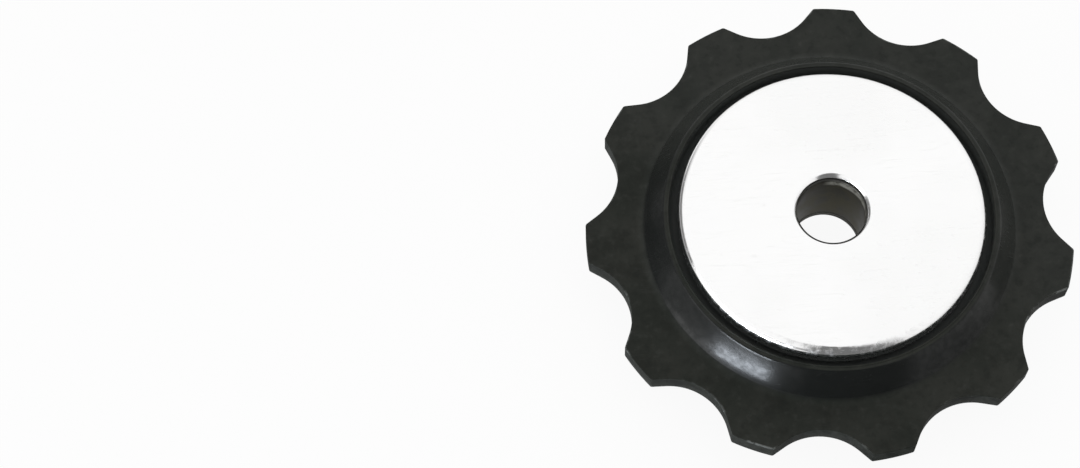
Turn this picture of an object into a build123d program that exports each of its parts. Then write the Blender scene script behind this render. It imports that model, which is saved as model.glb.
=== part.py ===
from build123d import *
import math
import os

# A derailleur jockey wheel: a moulded wheel with eleven teeth that turns on a plain steel bush,
# closed on both sides by a pressed steel dust cap. The pulley bolt clamps the caps and the bush
# between the cage plates, and only the toothed wheel turns.
# Millimetres. The origin is the middle of the bore, the axle runs along Z, and +Z is the side
# that faces up while the wheel lies flat on its rear cap.

# Chain that the wheel guides
CHAIN_PITCH = 12.7
ROLLER_DIAMETER = 7.75

# Teeth
TOOTH_COUNT = 11
TOOTH_HEIGHT = 2.35        # from the root circle to the tip circle
TOOTH_THICKNESS = 1.9
GULLET_RADIUS = 5.0
FLANK_TURN = 39.0          # degrees of gullet arc on each side, before the straight flank
TIP_ROUND = 0.2

# Bush
BORE_DIAMETER = 6.0
BUSH_WALL = 1.5
BUSH_LENGTH = 7.0
BUSH_CHAMFER = 0.25        # at both ends of the bore

# Dust caps
CAP_DIAMETER = 26.3
CAP_SHEET = 0.8
RIM_RADIUS = 0.9           # outside of the bend, where the sheet turns down into the skirt
SKIRT_DEPTH = 1.0          # below the underside of the cap's flat face
HOLE_CHAMFER = 0.3         # on the outer edge of the hole

# Hub, web and boss of the toothed wheel
HUB_WALL = 2.5
LIP_WIDTH = 0.45
SLOPE_REACH = 1.9          # radial, from the lip's outer edge to the foot of its slope
CAP_PROUD = 0.75           # how far a cap stands out past the lip around it

# Clearances
RUNNING_CLEARANCE = 0.05   # radial, wheel on bush
END_PLAY = 0.1             # hub to cap, each side
CAP_GAP = 0.75             # radial, cap to lip
SKIRT_CLEARANCE = 0.9      # skirt to the floor of the pocket

pitch_radius = CHAIN_PITCH / (2 * math.sin(math.pi / TOOTH_COUNT))
root_radius = pitch_radius - ROLLER_DIAMETER / 2
tip_radius = root_radius + TOOTH_HEIGHT
tooth_face = TOOTH_THICKNESS / 2

bore_radius = BORE_DIAMETER / 2
bush_radius = bore_radius + BUSH_WALL
bush_end = BUSH_LENGTH / 2

cap_radius = CAP_DIAMETER / 2
cap_top = bush_end + CAP_SHEET
skirt_inner = cap_radius - CAP_SHEET
skirt_end = bush_end - SKIRT_DEPTH

hub_bore = bush_radius + RUNNING_CLEARANCE
hub_radius = hub_bore + HUB_WALL
hub_end = bush_end - END_PLAY
web_face = skirt_end - SKIRT_CLEARANCE
lip_top = cap_top - CAP_PROUD
lip_inner = cap_radius + CAP_GAP
lip_outer = lip_inner + LIP_WIDTH
slope_foot = lip_outer + SLOPE_REACH


def turned(outline):
    """Revolve a face of (radius, height) points about the axle."""
    return revolve(Plane.XZ * outline, Axis.Z)


def alike_on_both_sides(points):
    """Close the upper half of an outline with its mirror image below the middle plane."""
    below = [(radius, -height) for radius, height in reversed(points)]
    return make_face(Polyline(*points, *below, close=True))


def wheel_blank():
    """The wheel before its teeth are cut: hub, web, pocket for the cap, lip, slope and rim."""
    return turned(alike_on_both_sides([
        (hub_bore, hub_end),
        (hub_radius, hub_end),
        (hub_radius, web_face),
        (lip_inner, web_face),
        (lip_inner, lip_top),
        (lip_outer, lip_top),
        (slope_foot, tooth_face),
        (tip_radius, tooth_face),
    ]))


def gullet():
    """The space that a chain roller drops into: a round seat that opens into straight flanks."""
    turn = math.radians(FLANK_TURN)
    seat_centre = root_radius + GULLET_RADIUS
    flank_x = seat_centre - GULLET_RADIUS * math.cos(turn)
    flank_y = GULLET_RADIUS * math.sin(turn)
    mouth_x = flank_x + TOOTH_HEIGHT
    mouth_y = flank_y + TOOTH_HEIGHT / math.tan(turn)
    seat = ThreePointArc((flank_x, -flank_y), (root_radius, 0), (flank_x, flank_y))
    flanks = Polyline((flank_x, flank_y), (mouth_x, mouth_y), (mouth_x, -mouth_y), (flank_x, -flank_y))
    return extrude(make_face(seat + flanks), TOOTH_THICKNESS, both=True)


def toothed_wheel():
    """Cut a gullet for each link of the chain and round the corners of the tips."""
    wheel = wheel_blank() - PolarLocations(0, TOOTH_COUNT) * gullet()
    tip_edges = wheel.edges().filter_by(Axis.Z).filter_by(on_tip_circle)
    return fillet(tip_edges, TIP_ROUND)


def on_tip_circle(edge):
    middle = edge.center()
    return math.isclose(math.hypot(middle.X, middle.Y), tip_radius, rel_tol=1e-6)


def bush():
    """A plain sleeve, a little longer than the hub that turns on it."""
    return turned(alike_on_both_sides([
        (bore_radius, bush_end - BUSH_CHAMFER),
        (bore_radius + BUSH_CHAMFER, bush_end),
        (bush_radius, bush_end),
    ]))


def dust_cap():
    """A shallow pressed cup: flat face, hole for the bolt, rounded rim, and a skirt inside the lip."""
    rim = (cap_radius, cap_top)
    outline = make_face(Polyline(
        (bore_radius, bush_end),
        (bore_radius, cap_top - HOLE_CHAMFER),
        (bore_radius + HOLE_CHAMFER, cap_top),
        rim,
        (cap_radius, skirt_end),
        (skirt_inner, skirt_end),
        (skirt_inner, bush_end),
        close=True,
    ))
    rim_corner = outline.vertices().sort_by_distance(rim)[0]
    return turned(fillet(rim_corner, RIM_RADIUS))


front_cap = dust_cap()
pieces = {
    "toothed_wheel": toothed_wheel(),
    "bush": bush(),
    "front_cap": front_cap,
    "rear_cap": mirror(front_cap, Plane.XY),
}

os.makedirs("parts", exist_ok=True)
for name, piece in pieces.items():
    export_step(piece, f"parts/{name}.step")
    print(name, "volume", round(piece.volume, 2), "mm3")
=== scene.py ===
# %% [markdown]
# # A jockey wheel from a rear derailleur
#
# The wheel lies flat on a pale floor. It is four pieces: a black moulded wheel with eleven teeth, a plain
# steel bush that it turns on, and a pressed steel dust cap on each side. The CAD part comes first, as a
# fixed frame. It already has every size and place, so each piece below takes its sizes from the CAD solid
# that it stands for and adds what a solid leaves out: soft edges, the slight hollow of the boss, and a
# finish.

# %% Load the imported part
import math

import bmesh
import bpy
from mathutils import Matrix, Vector


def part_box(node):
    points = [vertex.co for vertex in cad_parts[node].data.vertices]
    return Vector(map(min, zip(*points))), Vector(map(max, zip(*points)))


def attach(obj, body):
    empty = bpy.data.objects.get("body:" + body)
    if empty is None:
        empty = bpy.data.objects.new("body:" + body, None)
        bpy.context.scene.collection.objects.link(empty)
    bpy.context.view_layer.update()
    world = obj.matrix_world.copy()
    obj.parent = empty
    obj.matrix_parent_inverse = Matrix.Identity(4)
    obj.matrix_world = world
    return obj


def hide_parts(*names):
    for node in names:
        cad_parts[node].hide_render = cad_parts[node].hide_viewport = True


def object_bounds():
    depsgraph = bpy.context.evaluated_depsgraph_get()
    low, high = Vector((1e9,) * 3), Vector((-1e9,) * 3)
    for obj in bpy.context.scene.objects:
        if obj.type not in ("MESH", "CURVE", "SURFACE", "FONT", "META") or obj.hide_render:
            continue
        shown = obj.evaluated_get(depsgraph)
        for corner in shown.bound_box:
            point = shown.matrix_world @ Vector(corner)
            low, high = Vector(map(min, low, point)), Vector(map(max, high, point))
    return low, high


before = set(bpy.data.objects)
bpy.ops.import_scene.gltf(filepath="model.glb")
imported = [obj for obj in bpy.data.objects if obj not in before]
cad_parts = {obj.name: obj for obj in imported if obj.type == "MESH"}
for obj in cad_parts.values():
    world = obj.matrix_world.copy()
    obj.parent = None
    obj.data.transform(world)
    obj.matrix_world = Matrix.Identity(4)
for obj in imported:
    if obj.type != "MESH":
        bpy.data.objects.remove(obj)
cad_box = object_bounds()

MM = 0.001
for name in sorted(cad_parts):
    low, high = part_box(name)
    print(name, "is", [round(side / MM, 2) for side in high - low], "mm")

# %% [markdown]
# ## Drawing with one point
#
# Every piece here is either turned or toothed, so each one starts as a drawn line. Blender has no pencil
# for that, but a small plane can be melted into a single vertex, and extruding a vertex draws an edge. A
# spin carries the same vertex round a centre, which draws an arc. The line could also be a curve object,
# but a mesh line can be bevelled, mirrored and spun into a surface without being converted.

# %% Start a line, draw it on and swing its end
WELD = 0.001 * MM


def start_line(name, x, y, z):
    """Melt a small plane into one vertex and move it to its place, in millimetres."""
    bpy.ops.object.select_all(action="DESELECT")
    bpy.ops.mesh.primitive_plane_add(size=MM)
    piece = bpy.context.object
    piece.name = piece.data.name = name
    bpy.ops.object.mode_set(mode="EDIT")
    bpy.ops.mesh.select_all(action="SELECT")
    bpy.ops.mesh.merge(type="CENTER")
    bpy.ops.transform.translate(value=Vector((x, y, z)) * MM)
    return piece


def draw_on(x, y, z):
    """Extrude the end of the line by a step in millimetres."""
    bpy.ops.mesh.extrude_vertices_move(TRANSFORM_OT_translate={"value": Vector((x, y, z)) * MM})


def swing_end(centre, axis, degrees, steps):
    """Carry the end of the line round a centre. A spin turns clockwise, so the angle is given a minus."""
    bpy.ops.mesh.spin(steps=steps, angle=-math.radians(degrees), center=Vector(centre) * MM, axis=axis)


def draw_section(name, corners):
    """Draw half a section as edges between (radius, height) corners, in the plane where y is zero."""
    piece = start_line(name, corners[0][0], 0, corners[0][1])
    for (radius, height), (next_radius, next_height) in zip(corners, corners[1:]):
        draw_on(next_radius - radius, 0, next_height - height)
    return piece


# %% Pick, round and weld
NEAR = 0.01


def pick(piece, test):
    """Select the vertices whose place, as (x, y, z) in millimetres, passes a test."""
    bpy.ops.mesh.select_mode(type="VERT")
    shape = bmesh.from_edit_mesh(piece.data)
    for vertex in shape.verts:
        vertex.select_set(test(*(vertex.co / MM)))
    shape.select_flush_mode()
    bmesh.update_edit_mesh(piece.data)
    return sum(vertex.select for vertex in shape.verts)


def round_corner(piece, radius, height, size, steps):
    """Round one corner of a section with a vertex bevel."""
    found = pick(piece, lambda x, y, z: math.hypot(x - radius, z - height) < NEAR)
    bpy.ops.mesh.bevel(offset=size * MM, segments=steps, affect="VERTICES")
    return found


def weld():
    """Join the points that lie on each other, then turn all faces outwards."""
    bpy.ops.mesh.select_all(action="SELECT")
    bpy.ops.mesh.remove_doubles(threshold=WELD)
    bpy.ops.mesh.normals_make_consistent(inside=False)


def mirror_copy(x, y, z):
    """Copy the whole mesh and turn the copy over along the axes that are given as -1."""
    bpy.ops.mesh.select_all(action="SELECT")
    bpy.ops.mesh.duplicate()
    bpy.ops.transform.resize(value=(x, y, z), center_override=(0, 0, 0))


def turn_on_lathe(steps):
    """Spin a drawn section once round the axle."""
    bpy.ops.mesh.select_all(action="SELECT")
    bpy.ops.mesh.spin(steps=steps, angle=math.tau, center=(0, 0, 0), axis=(0, 0, 1))
    weld()


# %% Finish a mesh
SMOOTH_UNDER = 21


def finish_mesh(piece):
    """Shade gentle bends smooth and let the large faces lead, so that flats stay flat beside soft edges.

    The volume that it prints is above zero only if the faces point outwards.
    """
    volume = bmesh.from_edit_mesh(piece.data).calc_volume(signed=True) / MM ** 3
    bpy.ops.object.mode_set(mode="OBJECT")
    bpy.ops.object.select_all(action="DESELECT")
    piece.select_set(True)
    bpy.context.view_layer.objects.active = piece
    bpy.ops.object.shade_smooth_by_angle(angle=math.radians(SMOOTH_UNDER))
    lead = piece.modifiers.new("flats_lead", "WEIGHTED_NORMAL")
    lead.keep_sharp = True
    bpy.ops.object.modifier_apply(modifier=lead.name)
    triangles = sum(len(face.vertices) - 2 for face in piece.data.polygons)
    print(piece.name, "has", triangles, "triangles and holds", round(volume, 1), "mm3")
    return piece


# %% [markdown]
# ## The toothed rim
#
# A chain roller drops into each gullet, so the gullet is a round seat that opens into two straight flanks.
# The tips between them are short arcs with soft corners. One could cut the gullets out of a disc with
# booleans, but their edges would then need repair. Half a gullet and half a tip are drawn here instead,
# mirrored, and copied eleven times round the axle, which gives one clean outline.

# %% Sizes of the rim
CHAIN_PITCH = 12.7
ROLLER_DIAMETER = 7.75
TEETH = 11
TOOTH_THICKNESS = 1.9
GULLET_RADIUS = 5.0
FLANK_TURN = 39.0
ROOT_RADIUS = CHAIN_PITCH / (2 * math.sin(math.pi / TEETH)) - ROLLER_DIAMETER / 2
TOOTH_FACE = TOOTH_THICKNESS / 2
wheel_low, wheel_high = (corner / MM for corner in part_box("toothed_wheel"))
TIP_RADIUS = -wheel_low.x

flank_turn = math.radians(FLANK_TURN)
seat_centre = ROOT_RADIUS + GULLET_RADIUS
flank_foot = Vector((seat_centre, 0)) + GULLET_RADIUS * Vector((-math.cos(flank_turn), math.sin(flank_turn)))
flank_line = Vector((math.sin(flank_turn), math.cos(flank_turn)))
foot_reach = flank_foot.dot(flank_line)
flank_length = math.sqrt(foot_reach ** 2 + TIP_RADIUS ** 2 - flank_foot.length_squared) - foot_reach
tip_corner = flank_foot + flank_line * flank_length
tip_turn = math.degrees(math.pi / TEETH - math.atan2(tip_corner.y, tip_corner.x))
print("root", round(ROOT_RADIUS, 2), "tip", round(TIP_RADIUS, 2), "flank", round(flank_length, 2), "mm")

# %% Draw one gullet and copy it round
SEAT_STEPS = 11
TIP_STEPS = 3
TIP_CORNER = 0.12
TIP_CORNER_STEPS = 4

wheel_rim = start_line("wheel_moulding", ROOT_RADIUS, 0, TOOTH_FACE)
swing_end((seat_centre, 0, TOOTH_FACE), (0, 0, 1), -FLANK_TURN, SEAT_STEPS)
draw_on(*(flank_line * flank_length), 0)
swing_end((0, 0, TOOTH_FACE), (0, 0, 1), tip_turn, TIP_STEPS)
mirror_copy(1, -1, 1)
bpy.ops.mesh.select_all(action="SELECT")
bpy.ops.mesh.spin(steps=TEETH, angle=math.tau, center=(0, 0, 0), axis=(0, 0, 1), dupli=True)
bpy.ops.mesh.select_all(action="SELECT")
bpy.ops.mesh.remove_doubles(threshold=WELD)


def is_tip_corner(x, y, z):
    """Turn a point back to the first gullet and see whether it lies on that gullet's corner."""
    pitch = math.tau / TEETH
    turn = abs((math.atan2(y, x) + pitch / 2) % pitch - pitch / 2)
    turned_back = math.hypot(x, y) * Vector((math.cos(turn), math.sin(turn)))
    return (turned_back - tip_corner).length < NEAR


corners = pick(wheel_rim, is_tip_corner)
bpy.ops.mesh.bevel(offset=TIP_CORNER * MM, segments=TIP_CORNER_STEPS, affect="VERTICES")
outline_points = len(bmesh.from_edit_mesh(wheel_rim.data).verts)
print("tip corners", corners, "outline points", outline_points)

# %% Give the rim its thickness
bpy.ops.mesh.select_all(action="SELECT")
bpy.ops.mesh.extrude_region_move(TRANSFORM_OT_translate={"value": (0, 0, -TOOTH_THICKNESS * MM)})
bpy.ops.object.mode_set(mode="OBJECT")
print("the rim is", TOOTH_THICKNESS, "mm thick")

# %% [markdown]
# ## The boss
#
# Inside the teeth the moulding rises in a slightly hollow slope to a thin lip with a fine step on it.
# Inside the lip lies the pocket for the dust cap, and in the middle the hub that runs on the bush. All of
# this is turned form, so half of its section is drawn once, rounded, mirrored to the other side and spun.
# The hollow could be a curve drawn by eye. Two arcs that share a tangent are used instead, and two
# equations give their radii. The spin takes as many steps as the rim has points, and then a bridge can join
# both, point for point.

# %% Sizes of the boss
cap_low, cap_high = (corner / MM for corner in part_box("front_cap"))
bush_low, bush_high = (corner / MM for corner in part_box("bush"))
RUNNING_CLEARANCE = 0.05
HUB_WALL = 2.5
END_PLAY = 0.1
SKIRT_CLEARANCE = 0.9
CAP_GAP = 0.75
LIP_WIDTH = 0.45
SLOPE_REACH = 1.9
STEP_WIDTH = 0.15
LIP_STEP = 0.07
HUB_BORE = bush_high.x + RUNNING_CLEARANCE
HUB_RADIUS = HUB_BORE + HUB_WALL
HUB_END = bush_high.z - END_PLAY
WEB_FACE = cap_low.z - SKIRT_CLEARANCE
LIP_INNER = cap_high.x + CAP_GAP
LIP_OUTER = LIP_INNER + LIP_WIDTH
LIP_TOP = wheel_high.z
SLOPE_FOOT = LIP_OUTER + SLOPE_REACH
STEP_RADIUS = LIP_INNER + STEP_WIDTH
SLOPE_TILTS = 58.0, 52.5, 43.5  # degrees: at the lip, where the two arcs meet, and at the foot
SLOPE_STEPS = 8

lip_edge = Vector((LIP_OUTER, LIP_TOP - LIP_STEP))
slope = Vector((SLOPE_FOOT, TOOTH_FACE)) - lip_edge
facing = [Vector((math.sin(math.radians(tilt)), math.cos(math.radians(tilt)))) for tilt in SLOPE_TILTS]
upper_bend, lower_bend = facing[0] - facing[1], facing[1] - facing[2]
upper_radius, lower_radius = Matrix((upper_bend, lower_bend)).transposed().inverted() @ slope
upper_centre = lip_edge + facing[0] * upper_radius
lower_centre = upper_centre - facing[1] * (upper_radius - lower_radius)
print("slope radii", round(upper_radius, 2), "and", round(lower_radius, 2), "mm")

# %% Draw the section of the boss
boss = draw_section("boss", [
    (HUB_BORE, 0),
    (HUB_BORE, HUB_END),
    (HUB_RADIUS, HUB_END),
    (HUB_RADIUS, WEB_FACE),
    (LIP_INNER, WEB_FACE),
    (LIP_INNER, LIP_TOP),
    (STEP_RADIUS, LIP_TOP),
    (STEP_RADIUS, LIP_TOP - LIP_STEP),
    (LIP_OUTER, LIP_TOP - LIP_STEP),
])
swing_end((upper_centre.x, 0, upper_centre.y), (0, 1, 0), SLOPE_TILTS[1] - SLOPE_TILTS[0], SLOPE_STEPS)
swing_end((lower_centre.x, 0, lower_centre.y), (0, 1, 0), SLOPE_TILTS[2] - SLOPE_TILTS[1], SLOPE_STEPS)
slope_end = [vertex.co / MM for vertex in bmesh.from_edit_mesh(boss.data).verts if vertex.select]
print("slope ends at", [round(c, 3) for c in slope_end[0]], "foot at", round(SLOPE_FOOT, 3))

# %% Round its corners and spin it
LIP_ROUND, STEP_ROUND, LIP_OUTER_ROUND, POCKET_ROUND, HUB_ROUND = 0.07, 0.06, 0.1, 0.5, 0.2
rounded = 0
for corner_radius, corner_height, size, steps in (
    (LIP_INNER, LIP_TOP, LIP_ROUND, 4),
    (STEP_RADIUS, LIP_TOP, STEP_ROUND, 4),
    (LIP_OUTER, LIP_TOP - LIP_STEP, LIP_OUTER_ROUND, 5),
    (LIP_INNER, WEB_FACE, POCKET_ROUND, 6),
    (HUB_RADIUS, WEB_FACE, POCKET_ROUND, 6),
    (HUB_RADIUS, HUB_END, HUB_ROUND, 5),
    (HUB_BORE, HUB_END, HUB_ROUND, 5),
):
    rounded += round_corner(boss, corner_radius, corner_height, size, steps)
print("corners rounded", rounded)
mirror_copy(1, 1, -1)
bpy.ops.mesh.select_all(action="SELECT")
bpy.ops.mesh.remove_doubles(threshold=WELD)
turn_on_lathe(outline_points)
bpy.ops.object.mode_set(mode="OBJECT")

# %% [markdown]
# ## One moulding
#
# On the real wheel, boss and rim are one shot of plastic, with no seam. A boolean union could join them. A
# bridge fills the flat ring between them on each side and keeps the faces regular. The faces are turned
# outwards there, before the bevels, which keep that direction. Done again after the bevels, that step
# turned this whole mesh inside out. A volume below zero shows it, so each finished piece prints its volume.

# %% Join the boss to the rim
EDGE_ROUND = 0.07
FOOT_ROUND = 0.4
EDGE_STEPS = 5
bpy.ops.object.select_all(action="DESELECT")
boss.select_set(True)
wheel_rim.select_set(True)
bpy.context.view_layer.objects.active = wheel_rim
bpy.ops.object.join()
bpy.ops.object.mode_set(mode="EDIT")
for face in (TOOTH_FACE, -TOOTH_FACE):
    pick(wheel_rim, lambda x, y, z: abs(z - face) < NEAR and math.hypot(x, y) > SLOPE_FOOT - NEAR)
    bpy.ops.mesh.bridge_edge_loops()
weld()
pick(wheel_rim, lambda x, y, z: abs(abs(z) - TOOTH_FACE) < NEAR
     and math.hypot(x, y) > ROOT_RADIUS - NEAR)
bpy.ops.mesh.bevel(offset=EDGE_ROUND * MM, segments=EDGE_STEPS, affect="EDGES")
pick(wheel_rim, lambda x, y, z: abs(abs(z) - TOOTH_FACE) < NEAR
     and abs(math.hypot(x, y) - SLOPE_FOOT) < NEAR)
bpy.ops.mesh.bevel(offset=FOOT_ROUND * MM, segments=EDGE_STEPS, affect="EDGES")
wheel_moulding = finish_mesh(wheel_rim)

# %% [markdown]
# ## The dust caps
#
# Each cap is a disc of bright sheet, punched in the middle and pressed into a shallow cup. The press leaves
# a rounded rim, and the hole has a small chamfer. A cylinder with bevels could stand for it, but the skirt
# has an inside too. So the section of the sheet is drawn, rounded and spun, and the second cap is a copy
# turned over, with a mesh of its own.

# %% Draw and spin the front cap
HOLE_RADIUS = 3.0
RIM_RADIUS = 0.9
CAP_SHEET = 0.8
HOLE_CHAMFER = 0.3
CUT_ROUND, CHAMFER_ROUND, SKIRT_ROUND, INSIDE_ROUND = 0.06, 0.1, 0.08, 0.1
CAP_UNDERSIDE = bush_high.z
SKIRT_INNER = cap_high.x - CAP_SHEET
LATHE_STEPS = 288

front_dust_cap = draw_section("front_dust_cap", [
    (HOLE_RADIUS, CAP_UNDERSIDE),
    (HOLE_RADIUS, cap_high.z - HOLE_CHAMFER),
    (HOLE_RADIUS + HOLE_CHAMFER, cap_high.z),
    (cap_high.x, cap_high.z),
    (cap_high.x, cap_low.z),
    (SKIRT_INNER, cap_low.z),
    (SKIRT_INNER, CAP_UNDERSIDE),
    (HOLE_RADIUS, CAP_UNDERSIDE),
])
bpy.ops.mesh.select_all(action="SELECT")
bpy.ops.mesh.remove_doubles(threshold=WELD)
for corner_radius, corner_height, size, steps in (
    (HOLE_RADIUS, cap_high.z - HOLE_CHAMFER, CUT_ROUND, 4),
    (HOLE_RADIUS + HOLE_CHAMFER, cap_high.z, CHAMFER_ROUND, 4),
    (cap_high.x, cap_high.z, RIM_RADIUS, 14),
    (cap_high.x, cap_low.z, SKIRT_ROUND, 5),
    (SKIRT_INNER, cap_low.z, SKIRT_ROUND, 5),
    (SKIRT_INNER, CAP_UNDERSIDE, INSIDE_ROUND, 5),
):
    round_corner(front_dust_cap, corner_radius, corner_height, size, steps)
turn_on_lathe(LATHE_STEPS)
finish_mesh(front_dust_cap)

# %% Copy it to the back
bpy.ops.object.select_all(action="DESELECT")
front_dust_cap.select_set(True)
bpy.context.view_layer.objects.active = front_dust_cap
bpy.ops.object.duplicate(linked=False)
rear_dust_cap = bpy.context.object
rear_dust_cap.name = rear_dust_cap.data.name = "rear_dust_cap"
bpy.ops.object.mode_set(mode="EDIT")
bpy.ops.mesh.select_all(action="SELECT")
bpy.ops.transform.resize(value=(1, 1, -1), center_override=(0, 0, 0))
weld()
finish_mesh(rear_dust_cap)

# %% [markdown]
# ## The bush
#
# The bush is a plain turned sleeve, clamped between the caps. Only its bore shows, with a small chamfer at
# each end. It is drawn and spun like the caps.

# %% Draw and spin the bush
BORE_RADIUS = 3.0
BORE_CHAMFER = 0.25
END_ROUND, MOUTH_ROUND = 0.1, 0.04
steel_bush = draw_section("steel_bush", [
    (bush_high.x, 0),
    (bush_high.x, bush_high.z),
    (BORE_RADIUS + BORE_CHAMFER, bush_high.z),
    (BORE_RADIUS, bush_high.z - BORE_CHAMFER),
    (BORE_RADIUS, 0),
])
round_corner(steel_bush, bush_high.x, bush_high.z, END_ROUND, 5)
round_corner(steel_bush, BORE_RADIUS + BORE_CHAMFER, bush_high.z, MOUTH_ROUND, 4)
round_corner(steel_bush, BORE_RADIUS, bush_high.z - BORE_CHAMFER, MOUTH_ROUND, 4)
mirror_copy(1, 1, -1)
bpy.ops.mesh.select_all(action="SELECT")
bpy.ops.mesh.remove_doubles(threshold=WELD)
turn_on_lathe(LATHE_STEPS)
finish_mesh(steel_bush)

# %% Tie the pieces to the part
for piece, node, body, finish in (
    (wheel_moulding, "toothed_wheel", "wheel", "moulded_plastic"),
    (steel_bush, "bush", "axle", "bush_steel"),
    (front_dust_cap, "front_cap", "axle", "cap_steel"),
    (rear_dust_cap, "rear_cap", "axle", "cap_steel"),
):
    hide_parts(node)
    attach(piece, body)
    print(piece.name, "stands for", node, "and moves with", body)

# %% [markdown]
# ## Shader maths as plain sums
#
# A finish is a net of nodes, and sums in it are Math nodes. Written one node at a time they are hard to
# read. A small class wraps a node's output instead, so that a + b adds the node for it. All other nodes
# come from its one method, which sets a node's settings first and then fills its sockets with numbers or
# links.

# %% A class for node outputs
class Signal:
    """One output of a node. Arithmetic with signals and numbers adds Math nodes to the same tree."""

    def __init__(self, tree, socket=None):
        self.tree = tree
        self.socket = socket

    def node(self, kind, settings=None, sockets=None, output=0):
        """Add a node: settings first, then sockets, then pick one of its outputs."""
        made = self.tree.nodes.new(kind)
        for name, value in (settings or {}).items():
            setattr(made, name, value)
        for name, value in (sockets or {}).items():
            if isinstance(value, Signal):
                self.tree.links.new(value.socket, made.inputs[name])
            else:
                made.inputs[name].default_value = value
        return Signal(self.tree, made.outputs[output] if made.outputs else None)

    def out(self, name):
        """Another output of the same node."""
        return Signal(self.tree, self.socket.node.outputs[name])

    def math(self, operation, left, right=0.0):
        return self.node("ShaderNodeMath", {"operation": operation}, {0: left, 1: right})

    def __add__(self, other):
        return self.math("ADD", self, other)

    def __radd__(self, other):
        return self.math("ADD", other, self)

    def __sub__(self, other):
        return self.math("SUBTRACT", self, other)

    def __rsub__(self, other):
        return self.math("SUBTRACT", other, self)

    def __mul__(self, other):
        return self.math("MULTIPLY", self, other)

    def __rmul__(self, other):
        return self.math("MULTIPLY", other, self)

    def __truediv__(self, other):
        return self.math("DIVIDE", self, other)

    def __pow__(self, other):
        return self.math("POWER", self, other)

    def __abs__(self):
        return self.math("ABSOLUTE", self)


# %% Helpers for finishes
MIX_FACTOR, MIX_FIRST, MIX_SECOND, MIX_RESULT = 0, 6, 7, 2


def step(value, low, high):
    """A soft step from 0 at low to 1 at high; with low above high it falls instead."""
    return value.node("ShaderNodeMapRange", {"interpolation_type": "SMOOTHSTEP"},
                      {"Value": value, "From Min": low, "From Max": high})


def blend(factor, first, second):
    """Mix two colours."""
    return factor.node("ShaderNodeMix", {"data_type": "RGBA"},
                       {MIX_FACTOR: factor, MIX_FIRST: first, MIX_SECOND: second}, MIX_RESULT)


def noise(place, scale, detail=3.0, roughness=0.5, distortion=0.0):
    """Cloudy noise from 0 to 1, with its scale in cells for each millimetre."""
    return place.node("ShaderNodeTexNoise", sockets={
        "Vector": place, "Scale": scale / MM, "Detail": detail, "Roughness": roughness,
        "Distortion": distortion})


def rings(value, scale, detail=2.0):
    """Noise along one measure only, such as the radius, which draws turning marks."""
    return value.node("ShaderNodeTexNoise", {"noise_dimensions": "1D"},
                      {"W": value, "Scale": scale, "Detail": detail})


def hairlines(place, turn, length, width, thin):
    """Long thin scratches: the level lines of a noise that is stretched in one direction."""
    stretched = place.node("ShaderNodeMapping", sockets={
        "Vector": place, "Rotation": (0, 0, math.radians(turn)),
        "Scale": (1 / length, 1 / width, 1 / length)})
    cloud = noise(stretched, 1.0, 2.0)
    return step(abs(cloud - 0.5), thin, 0.0)


def start_finish(name, **constants):
    """A new material with its fixed values set; returns it, its shader and the place on the piece."""
    finish = bpy.data.materials.new(name)
    finish.use_nodes = True
    surface = finish.node_tree.nodes["Principled BSDF"]
    for socket, value in constants.items():
        surface.inputs[socket.replace("_", " ")].default_value = value
    place = Signal(finish.node_tree).node("ShaderNodeTexCoord", output="Object")
    return finish, surface, place


def feed(surface, **signals):
    """Link signals to the shader's sockets."""
    for socket, signal in signals.items():
        signal.tree.links.new(signal.socket, surface.inputs[socket.replace("_", " ")])


def axes(place):
    """The three coordinates of a place, in millimetres."""
    split = place.node("ShaderNodeSeparateXYZ", sockets={"Vector": place})
    return [split.out(axis) / MM for axis in "XYZ"]


def bumps(height, strength, depth):
    """Turn a height signal into a normal, with its depth in millimetres."""
    return height.node("ShaderNodeBump", sockets={
        "Height": height, "Strength": strength, "Distance": depth * MM})


# %% [markdown]
# ## Black moulded plastic
#
# The wheel is acetal, moulded in black. It isn't quite black: the flats show a dull grey with a hint of
# green, in soft patches, and the slope is smoother than the flats, as if the mould was polished there.
# Handling leaves fine scuffs and specks of dust. Some colour is painted light and shade: the flats and
# the slope are painted lighter on the far side as painted light, the slope darker on the near side as
# painted shade, the tooth walls and the cap pocket a lighter grey as painted light, and pale spots along
# the edges of the teeth are partly wear and partly painted highlight. All of that is placed by the piece's
# own coordinates, so it turns with the wheel. Wear could follow a painted map, but the distance to the
# drawn outline can be worked out from the same sizes that drew it.

# %% Where the plastic is: slope, walls, edges and pocket
plastic, surface, place = start_finish(
    "black_plastic", Specular_IOR_Level=0.12, IOR=1.48, Coat_Roughness=0.14)
x, y, z = axes(place)
radius = (x * x + y * y) ** 0.5
height = abs(z)
half_pitch = math.pi / TEETH
turn_in_pitch = place.node("ShaderNodeMath", {"operation": "WRAP"},
                           {0: place.math("ARCTAN2", y, x), 1: half_pitch, 2: -half_pitch})
outwards = radius * place.math("COSINE", turn_in_pitch)
sideways = abs(radius * place.math("SINE", turn_in_pitch))
past_seat = ((outwards - seat_centre) ** 2 + sideways ** 2) ** 0.5 - GULLET_RADIUS
from_foot_out = outwards - flank_foot.x
from_foot_side = sideways - flank_foot.y
past_flank = from_foot_side * flank_line.x - from_foot_out * flank_line.y
on_flank = step(from_foot_out * flank_line.x + from_foot_side * flank_line.y, -0.02, 0.02)
past_edge = place.math("MINIMUM", past_seat + on_flank * (past_flank - past_seat), TIP_RADIUS - radius)
on_slope = step(height, TOOTH_FACE + 0.02, TOOTH_FACE + 0.4) * step(radius, LIP_OUTER - 0.12, LIP_OUTER)
on_wall = step(height, TOOTH_FACE - 0.05, TOOTH_FACE - 0.15) * step(radius, ROOT_RADIUS - 0.3, ROOT_RADIUS)
on_lip = step(height, LIP_TOP - 0.3, LIP_TOP - 0.1) * step(radius, LIP_INNER - 0.06, LIP_INNER - 0.02)
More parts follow.
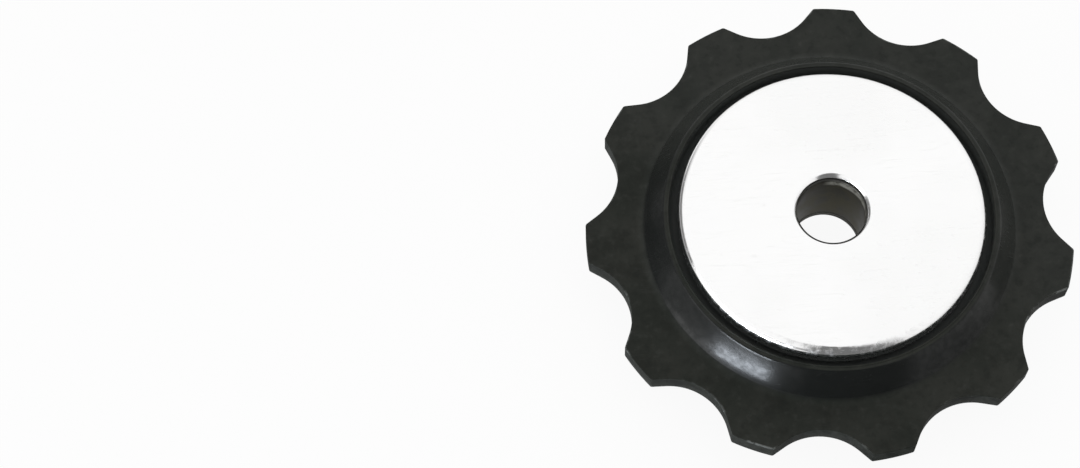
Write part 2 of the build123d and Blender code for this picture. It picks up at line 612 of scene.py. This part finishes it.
in_pocket = step(radius, LIP_INNER + 0.05, LIP_INNER - 0.02) * step(height, LIP_TOP - 0.05, LIP_TOP - 0.3)
print("masks for the plastic use", len(plastic.node_tree.nodes), "nodes")

# %% Marks on the plastic: clouds, grain, scuffs, dust, painted far-side light, worn and highlit edges
# painted light: the direction of the far side, where the plastic is painted lighter
LIT_SIDE = 0.6, 0.94
cloud = noise(place, 0.16, 4.0, 0.55)
mottle = noise(place, 0.5, 3.0, 0.6)
patch = noise(place, 1.1, 3.0, 0.6)
grain = noise(place, 2.4, 4.0, 0.6)
scuffs = hairlines(place, 24, 9.0, 0.5, 0.012) + hairlines(place, -58, 7.0, 0.45, 0.01)
scuffed = scuffs * step(noise(place, 0.3), 0.5, 0.66)
dust = step(noise(place, 1.1, 2.0), 0.7, 0.76) * (1 - on_slope)
# painted light: 0 on the near side and 1 on the far side, where flats and slope are painted lighter
far_side_lit = step(x * LIT_SIDE[0] + y * LIT_SIDE[1], -7.0, 7.0)
dirt = step(noise(place, 0.8, 2.0), 0.5, 0.35)
near_edge = step(past_edge, 0.16, 0.06) * step(height, TOOTH_FACE - 0.3, TOOTH_FACE - 0.12)
# pale spots along the tooth edges: partly wear, partly painted highlight
worn_and_highlit = near_edge * step(noise(place, 0.4, 3.0), 0.5, 0.62) * step(grain, 0.35, 0.6)
print("with its marks the plastic uses", len(plastic.node_tree.nodes), "nodes")

# %% Colours of the plastic, laid over each other
OLIVE_BLACK, OLIVE_GREY = (0.0175, 0.0200, 0.0160, 1), (0.0272, 0.0288, 0.0240, 1)
MOTTLED_BLACK = 0.0112, 0.0126, 0.0098, 1
# painted light: a lighter grey over the far side of the flats
FAR_SIDE_LIGHT = 0.034, 0.0365, 0.034, 1
PALE_PATCH, DARK_PATCH = (0.040, 0.042, 0.037, 1), (0.0085, 0.0105, 0.0085, 1)
SCUFF_GREY = 0.034, 0.035, 0.033, 1
DUST_SPECK = 0.05, 0.05, 0.046, 1
# painted shade and painted light on the slope: a darker black on the near side, a lighter grey on the far
# side
SLOPE_SHADE_BLACK, FAR_SLOPE_LIGHT = (0.0082, 0.0090, 0.0086, 1), (0.027, 0.029, 0.027, 1)
# the first colour is a lighter grey for the tooth walls, painted light; the second is dark dirt
WALL_LIT_GREY, WALL_DIRT = (0.036, 0.038, 0.036, 1), (0.010, 0.011, 0.010, 1)
# pale edge colour: partly wear, partly painted highlight
WORN_EDGE_HIGHLIGHT = 0.15, 0.157, 0.15, 1
# painted light: a lighter grey in the pocket under the cap
POCKET_LIT_GREY = 0.082, 0.089, 0.086, 1
colour = blend(step(cloud, 0.35, 0.65), OLIVE_BLACK, OLIVE_GREY)
for share, over in (
    (step(mottle, 0.45, 0.7) * 0.6, MOTTLED_BLACK),
    # painted light on the far side of the flats
    (far_side_lit * 0.35, FAR_SIDE_LIGHT),
    (step(patch, 0.52, 0.68) * 0.3, PALE_PATCH),
    (step(patch, 0.48, 0.32) * 0.35, DARK_PATCH),
    (scuffed * 0.5, SCUFF_GREY),
    (dust * 0.35, DUST_SPECK),
    # painted shade on the near side of the slope, then painted light on its far side
    (on_slope * (0.9 - far_side_lit * 0.9), SLOPE_SHADE_BLACK),
    (on_slope * far_side_lit * 0.45, FAR_SLOPE_LIGHT),
    # painted light: lighter grey specks on the tooth walls
    (on_wall * step(grain, 0.42, 0.62) * 0.45, WALL_LIT_GREY),
    (on_wall * dirt * 0.55, WALL_DIRT),
    # partly wear, partly painted highlight along the tooth edges
    (worn_and_highlit * 0.9, WORN_EDGE_HIGHLIGHT),
    # painted light in the pocket under the cap
    (in_pocket * 0.8, POCKET_LIT_GREY),
):
    colour = blend(share, colour, over)
print("with its colours the plastic uses", len(plastic.node_tree.nodes), "nodes")

# %% Gloss and grain of the plastic
GRAIN_DEPTH = 0.012
roughness = 0.45 + on_wall * 0.12 - on_slope * 0.2 + (grain - 0.5) * 0.1 + (cloud - 0.5) * 0.08
coat = 0.02 + cloud * 0.08 + step(noise(place, 1.5, 3.0, 0.6), 0.35, 0.65) * 0.15
relief = grain * (1 - on_slope * 0.4) + scuffed * 0.2
feed(surface, Base_Color=colour, Roughness=roughness + scuffed * 0.08,
     Coat_Weight=place.math("MAXIMUM", on_slope * coat, on_lip * 0.04),
     Normal=bumps(relief, 0.35, GRAIN_DEPTH))
wheel_moulding.data.materials.append(plastic)
print(plastic.name, "has", len(plastic.node_tree.nodes), "nodes")

# %% [markdown]
# ## Bright plated sheet
#
# The caps are bright sheet steel. Polishing leaves fine rings round the hole, use leaves hairlines that
# cross them, and the rim has small dents on one side. The cut edge of the hole is dull. All of that is too
# fine to model, so it is a bump and a change of roughness, with a faint grey in the colour where the
# plating is dulled. The cut edge is coloured dark, partly as bare cut steel and partly as painted shade in
# the hole, and darker still towards the underside.

# %% Cap steel
BRIGHT_PLATING, SMUDGED_PLATING = (0.98, 0.98, 0.978, 1), (0.93, 0.93, 0.925, 1)
SCRATCHED_PLATING = 0.86, 0.86, 0.85, 1
# the cut edge of the hole: dark, partly bare cut steel and partly painted shade, darker near the underside
CUT_STEEL_AND_SHADE, UNDERSIDE_CUT_STEEL = (0.16, 0.157, 0.145, 1), (0.06, 0.058, 0.05, 1)
MARK_DEPTH = 0.005
cap_steel, surface, place = start_finish("bright_cap_steel", Metallic=1.0)
x, y, z = axes(place)
radius = (x * x + y * y) ** 0.5
smudge = step(noise(place, 0.11, 3.0), 0.4, 0.7)
polish = rings(radius + noise(place, 0.2) * 0.4, 9.0, 4.0)
scratches = hairlines(place, 18, 12.0, 0.7, 0.006) + hairlines(place, 71, 9.0, 0.6, 0.005) \
    + hairlines(place, -40, 14.0, 0.8, 0.005)
on_rim = step(radius, cap_high.x - RIM_RADIUS, cap_high.x - RIM_RADIUS + 0.3)
dents = step(noise(place, 1.6, 2.0), 0.4, 0.7) * on_rim * step(y, 4.0, -6.0)
# the cut edge of the hole, coloured dark: partly bare steel, partly painted shade
on_cut = step(radius, HOLE_RADIUS + 0.04, HOLE_RADIUS + 0.01)
# darker towards the underside of the cut edge
near_underside = step(abs(z), CAP_UNDERSIDE + 0.2, CAP_UNDERSIDE + 0.28)
colour = blend(smudge * 0.5, BRIGHT_PLATING, SMUDGED_PLATING)
colour = blend(scratches * 0.25 + polish * 0.08, colour, SCRATCHED_PLATING)
# painted shade, with bare cut steel, on the hole's cut edge
colour = blend(on_cut, colour, blend(near_underside, CUT_STEEL_AND_SHADE, UNDERSIDE_CUT_STEEL))
roughness = 0.13 + smudge * 0.06 + scratches * 0.1 + polish * 0.05 + on_cut * 0.4
feed(surface, Base_Color=colour, Roughness=roughness - on_rim * 0.03 + dents * 0.16,
     Normal=bumps(polish + scratches * 0.5 + dents * 6, 0.12, MARK_DEPTH))
for cap in (front_dust_cap, rear_dust_cap):
    cap.data.materials.append(cap_steel)
print(cap_steel.name, "has", len(cap_steel.node_tree.nodes), "nodes")

# %% [markdown]
# ## Dull turned steel
#
# The bush is bare steel, dark with old oil. The tool has left fine turning marks along its bore. They
# follow the height inside the bore and the radius on the end faces, so one noise along the sum of both
# draws them. At the upper mouth one side of the bore carries a painted highlight, a bright streak in the
# colour, and both chamfers are painted a lighter grey as a painted highlight.

# %% Bush steel
OILY_STEEL, OILIEST_STEEL = (0.055, 0.050, 0.024, 1), (0.020, 0.018, 0.008, 1)
# painted highlight: a bright streak at one side of the bore mouth
BORE_HIGHLIGHT = 0.7, 0.7, 0.64, 1
# painted highlight: a lighter grey on the bore chamfers
CHAMFER_HIGHLIGHT_GREY = 0.14, 0.14, 0.13, 1
# the side of the bore that carries the painted highlight
HIGHLIGHT_SIDE = 0.92, 0.39
TURNING_DEPTH = 0.01
bush_steel, surface, place = start_finish("oily_bush_steel", Metallic=1.0)
x, y, z = axes(place)
radius = (x * x + y * y) ** 0.5
turning = rings(z + radius + noise(place, 0.3) * 0.15, 7.0, 4.0)
oil = step(noise(place, 0.6, 4.0, 0.6), 0.38, 0.6)
on_chamfer = step(abs(z), bush_high.z - BORE_CHAMFER - 0.03, bush_high.z - BORE_CHAMFER + 0.02)
# painted highlight: the side of the bore where the bright streak is painted
on_highlight_side = step((x * HIGHLIGHT_SIDE[0] + y * HIGHLIGHT_SIDE[1]) / radius, 0.25, 0.65)
at_mouth = step(z, bush_high.z - 1.1, bush_high.z - 0.7)
bore_highlight = at_mouth * on_highlight_side * step(noise(place, 1.6), 0.25, 0.6)
colour = blend(oil, OILY_STEEL, OILIEST_STEEL)
# painted highlight at the upper mouth of the bore
colour = blend(bore_highlight * 0.9, colour, BORE_HIGHLIGHT)
# painted highlight on the chamfers at both ends of the bore
colour = blend(on_chamfer * 0.8, colour, CHAMFER_HIGHLIGHT_GREY)
feed(surface, Base_Color=colour, Roughness=0.36 + turning * 0.16 - oil * 0.08,
     Normal=bumps(turning, 0.3, TURNING_DEPTH))
steel_bush.data.materials.append(bush_steel)
print(bush_steel.name, "has", len(bush_steel.node_tree.nodes), "nodes")

# %% [markdown]
# ## Floor and surroundings
#
# The floor is white paper. To the camera most of it is an even white, and the rest is a plain matt white
# that keeps the shadow under the wheel. Bright metal only shows what is round it, so the world is a room:
# white above, greyer towards the horizon, with a bright window side, a dark card in front, a lit pale card
# at the left and a pale wall over it, as a photographer sets them up. They appear in reflections alone. So
# do two dark wedges on the floor, in front and at the left, and the floor's own shade close to the wheel.
# The dark card gives the rims of the caps their grey edge. A picture of a real studio could light the wheel
# too, but these cards are a few numbers that can be moved one at a time.

# %% Floor
FLOOR_SIZE = 3000
FLOOR_EVEN = 0.93
FLOOR_REFLECTED = 0.85
DARK_CARD = 278, 0.5   # azimuth in degrees, and half width for each unit of distance
SIDE_CARD = 160, 0.45
CARD_SOFTNESS = 0.12
SIDE_CARD_SHARE = 0.75
SHADED_FLOOR = 0.45    # share of the open floor's brightness close to the wheel
PAPER_WHITE = 0.9, 0.9, 0.9, 1
CARD_GREY = 0.13, 0.13, 0.13, 1
WHITE = 1, 1, 1, 1


def heading_to(azimuth, elevation):
    """A unit vector towards an azimuth and elevation, in degrees."""
    turn, tilt = math.radians(azimuth), math.radians(elevation)
    return Vector((math.cos(turn) * math.cos(tilt), math.sin(turn) * math.cos(tilt), math.sin(tilt)))


def along(place, vector):
    """How far a place or a ray reaches along a vector."""
    return place.node("ShaderNodeVectorMath", {"operation": "DOT_PRODUCT"}, {0: place, 1: vector}, "Value")


def before_card(place, card, near, far):
    """A wedge towards a dark card, which begins between two distances and has soft sides."""
    azimuth, spread = card
    ahead = along(place, heading_to(azimuth, 0))
    beside = abs(along(place, heading_to(azimuth + 90, 0)))
    return step(beside / ahead, spread, spread - CARD_SOFTNESS) * step(ahead, near, far)


bpy.ops.object.select_all(action="DESELECT")
bpy.ops.mesh.primitive_plane_add(size=FLOOR_SIZE * MM, location=(0, 0, cad_box[0].z))
floor = bpy.context.object
floor.name = "paper_floor"
paper = bpy.data.materials.new("white_paper")
paper.use_nodes = True
paper.node_tree.nodes.clear()
desk = Signal(paper.node_tree)
ray = desk.node("ShaderNodeLightPath", output="Is Camera Ray")
mirrored = desk.math("MAXIMUM", ray.out("Is Glossy Ray"), ray.out("Is Transmission Ray"))
place = desk.node("ShaderNodeTexCoord", output="Object")
reach = place.node("ShaderNodeVectorMath", {"operation": "LENGTH"}, {0: place}, "Value")
open_floor = SHADED_FLOOR + step(reach, 25 * MM, 34 * MM) * (1 - SHADED_FLOOR)
front_wedge = before_card(place, DARK_CARD, 19 * MM, 22 * MM)
side_wedge = before_card(place, SIDE_CARD, 24 * MM, 32 * MM) * SIDE_CARD_SHARE
shade = mirrored * (1 - FLOOR_REFLECTED * open_floor * (1 - (front_wedge + side_wedge)))
matt = desk.node("ShaderNodeBsdfDiffuse", sockets={"Color": PAPER_WHITE})
even = desk.node("ShaderNodeEmission", sockets={"Color": blend(shade, WHITE, CARD_GREY), "Strength": 1.0})
mixed = desk.node("ShaderNodeMixShader", sockets={0: (ray + mirrored) * FLOOR_EVEN, 1: matt, 2: even})
desk.node("ShaderNodeOutputMaterial", sockets={"Surface": mixed})
floor.data.materials.append(paper)
print(floor.name, "lies at", round(cad_box[0].z / MM, 2), "mm")

# %% White surroundings with a dark and a pale card
PALE_CARD_AZIMUTH = 202
PALE_WALL_AZIMUTH = 212
GLOW_AZIMUTH = 235
WINDOW_AZIMUTH = 30
FILL_AZIMUTH, FILL_ELEVATION = 90, 10
AMBIENT = 0.7
HORIZON = 0.15
WINDOW_LIGHT, GLOW_LIGHT, PALE_CARD_LIGHT, DARK_CARD_LIGHT = 0.8, 0.25, 2.8, 0.16
PALE_CARD_RISE = 0.16
studio = bpy.data.worlds.new("white_studio")
bpy.context.scene.world = studio
studio.use_nodes = True
studio.node_tree.nodes.clear()
desk = Signal(studio.node_tree)
ray = desk.node("ShaderNodeLightPath", output="Is Camera Ray")
mirrored = desk.math("MAXIMUM", ray.out("Is Glossy Ray"), ray.out("Is Transmission Ray"))
heading = desk.node("ShaderNodeTexCoord", output="Generated")
rise = along(heading, heading_to(0, 90))
window = step(along(heading, heading_to(WINDOW_AZIMUTH, 0)), -0.35, 0.2)
fill = along(heading, heading_to(FILL_AZIMUTH, FILL_ELEVATION))
card_side = abs(along(heading, heading_to(PALE_CARD_AZIMUTH + 90, 0)))
card_front = along(heading, heading_to(PALE_CARD_AZIMUTH, 0))
card_band = step(abs(rise - PALE_CARD_RISE), 0.24, 0.16)
pale_card = step(card_side, 0.42, 0.2) * card_band * step(card_front, 0.0, 0.2)
pale_wall = step(rise, 0.28, 0.42) * step(along(heading, heading_to(PALE_WALL_AZIMUTH, 0)), 0.0, 0.3)
glow = step(along(heading, heading_to(GLOW_AZIMUTH, 0)), 0.85, 0.97)
dark_card = before_card(heading, DARK_CARD, 0.1, 0.2)
dome = desk.math("MAXIMUM", step(rise, 0.1, 0.7), pale_wall)
horizon = HORIZON + window * WINDOW_LIGHT + glow * GLOW_LIGHT
open_room = (horizon + dome * (1 - horizon)) * (1 - dark_card)
room = open_room + dark_card * DARK_CARD_LIGHT + pale_card * PALE_CARD_LIGHT
level = ray + mirrored * room + (1 - ray - mirrored) * AMBIENT * (1 + fill)
air = desk.node("ShaderNodeBackground", sockets={"Color": WHITE, "Strength": level})
desk.node("ShaderNodeOutputWorld", sockets={"Surface": air})
print(studio.name, "has", len(studio.node_tree.nodes), "nodes")

# %% [markdown]
# ## Light and camera
#
# One soft lamp stands low at the left front, partly below the floor. It draws the bright streak on the
# slope, and the white surroundings fill the rest. A higher lamp moves the streak down the slope, towards
# the flats. The camera looks down steeply through a long lens, a little turned, so that the wheel lies at
# the right of the picture.

# %% Soft lamp
LAMP_AZIMUTH = 227
LAMP_HEIGHT = 0.0
LAMP_DISTANCE = 300
LAMP_WIDTH = 135
LAMP_TALL = 54
LAMP_POWER = 1.0
LAMP_COLOUR = 0.84, 0.91, 1.0
bpy.ops.object.light_add(type="AREA", location=heading_to(LAMP_AZIMUTH, LAMP_HEIGHT) * LAMP_DISTANCE * MM)
lamp = bpy.context.object
lamp.name = "soft_lamp"
lamp.rotation_euler = lamp.location.to_track_quat("Z", "Y").to_euler()
lamp.data.shape = "RECTANGLE"
lamp.data.size = LAMP_WIDTH * MM
lamp.data.size_y = LAMP_TALL * MM
lamp.data.energy = LAMP_POWER
lamp.data.color = LAMP_COLOUR
print(lamp.name, "stands at", [round(c / MM) for c in lamp.location], "mm")

# %% Camera
CAMERA_DISTANCE = 210.62
CAMERA_ELEVATION = 67.183
CAMERA_ROLL = -3.561
CAMERA_TURN = -1.143
CAMERA_TARGET = Vector((-24.955, 1.161, 0))
LENS = 80.79
SENSOR_WIDTH = 36

look = -heading_to(-90, CAMERA_ELEVATION)
side = Vector((1, 0, 0))
up = side.cross(look)
stand = Matrix((side, up, -look)).transposed() @ Matrix.Rotation(math.radians(CAMERA_ROLL), 3, "Z")
bpy.ops.object.camera_add()
camera = bpy.context.object
camera.name = "camera"
camera.data.lens = LENS
camera.data.sensor_width = SENSOR_WIDTH
camera.data.clip_start = MM
camera_turn = Matrix.Rotation(math.radians(CAMERA_TURN), 4, "Z")
camera_place = Matrix.Translation((CAMERA_TARGET - look * CAMERA_DISTANCE) * MM)
camera.matrix_world = camera_turn @ camera_place @ stand.to_4x4()
bpy.context.scene.camera = camera
bpy.context.scene.view_settings.view_transform = "Standard"
print(camera.name, "stands at", [round(c / MM, 1) for c in camera.matrix_world.translation], "mm")
